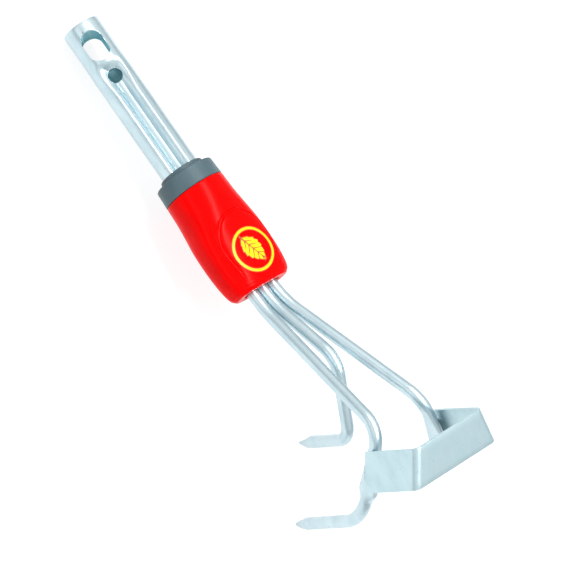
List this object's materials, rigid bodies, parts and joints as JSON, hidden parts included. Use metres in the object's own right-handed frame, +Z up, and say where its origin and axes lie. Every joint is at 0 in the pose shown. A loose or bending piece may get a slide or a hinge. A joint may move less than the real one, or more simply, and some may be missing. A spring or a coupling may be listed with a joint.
{
  "type": "hand cultivator",
  "caption": "Hand cultivator head: bent steel tines with a U-shaped hoe blade, held in a moulded sleeve on a tubular snap-in shank.",
  "frame": {"origin": "on the ground, below the middle of the tool's bounding box, with the tool resting on the rim of its shank and its outer tine tips", "axes": "+X from the shank's free end towards the blade, +Y the tool's left, +Z up; the shank climbs towards +X by 9.9 degrees"},
  "size_m": [0.3526, 0.0802, 0.1433],
  "materials": {
    "steel": "bright zinc-plated carbon steel, smooth and half mirror-like",
    "weld": "zinc-plated weld metal, rippled",
    "red_moulding": "glossy signal-red injection moulding",
    "grey_moulding": "satin slate-grey injection moulding",
    "rubber": "slate-grey soft moulding",
    "nylon": "natural nylon, hidden",
    "yellow_print": "glossy yellow pad print"
  },
  "bodies": {
    "root": {"shank_tube": "steel", "centre_tine": "steel", "left_tine": "steel", "right_tine": "steel", "hoe_blade": "steel", "retaining_pin": "steel", "left_blade_weld": "weld", "right_blade_weld": "weld", "upper_root_weld": "weld", "lower_root_weld": "weld", "sleeve": "red_moulding", "badge_panel": "red_moulding", "collar": "grey_moulding", "seal_ring": "rubber", "upper_bush": "nylon", "lower_bush": "nylon", "badge_ring": "yellow_print", "badge_leaf": "yellow_print"}
  },
  "joints": []
}
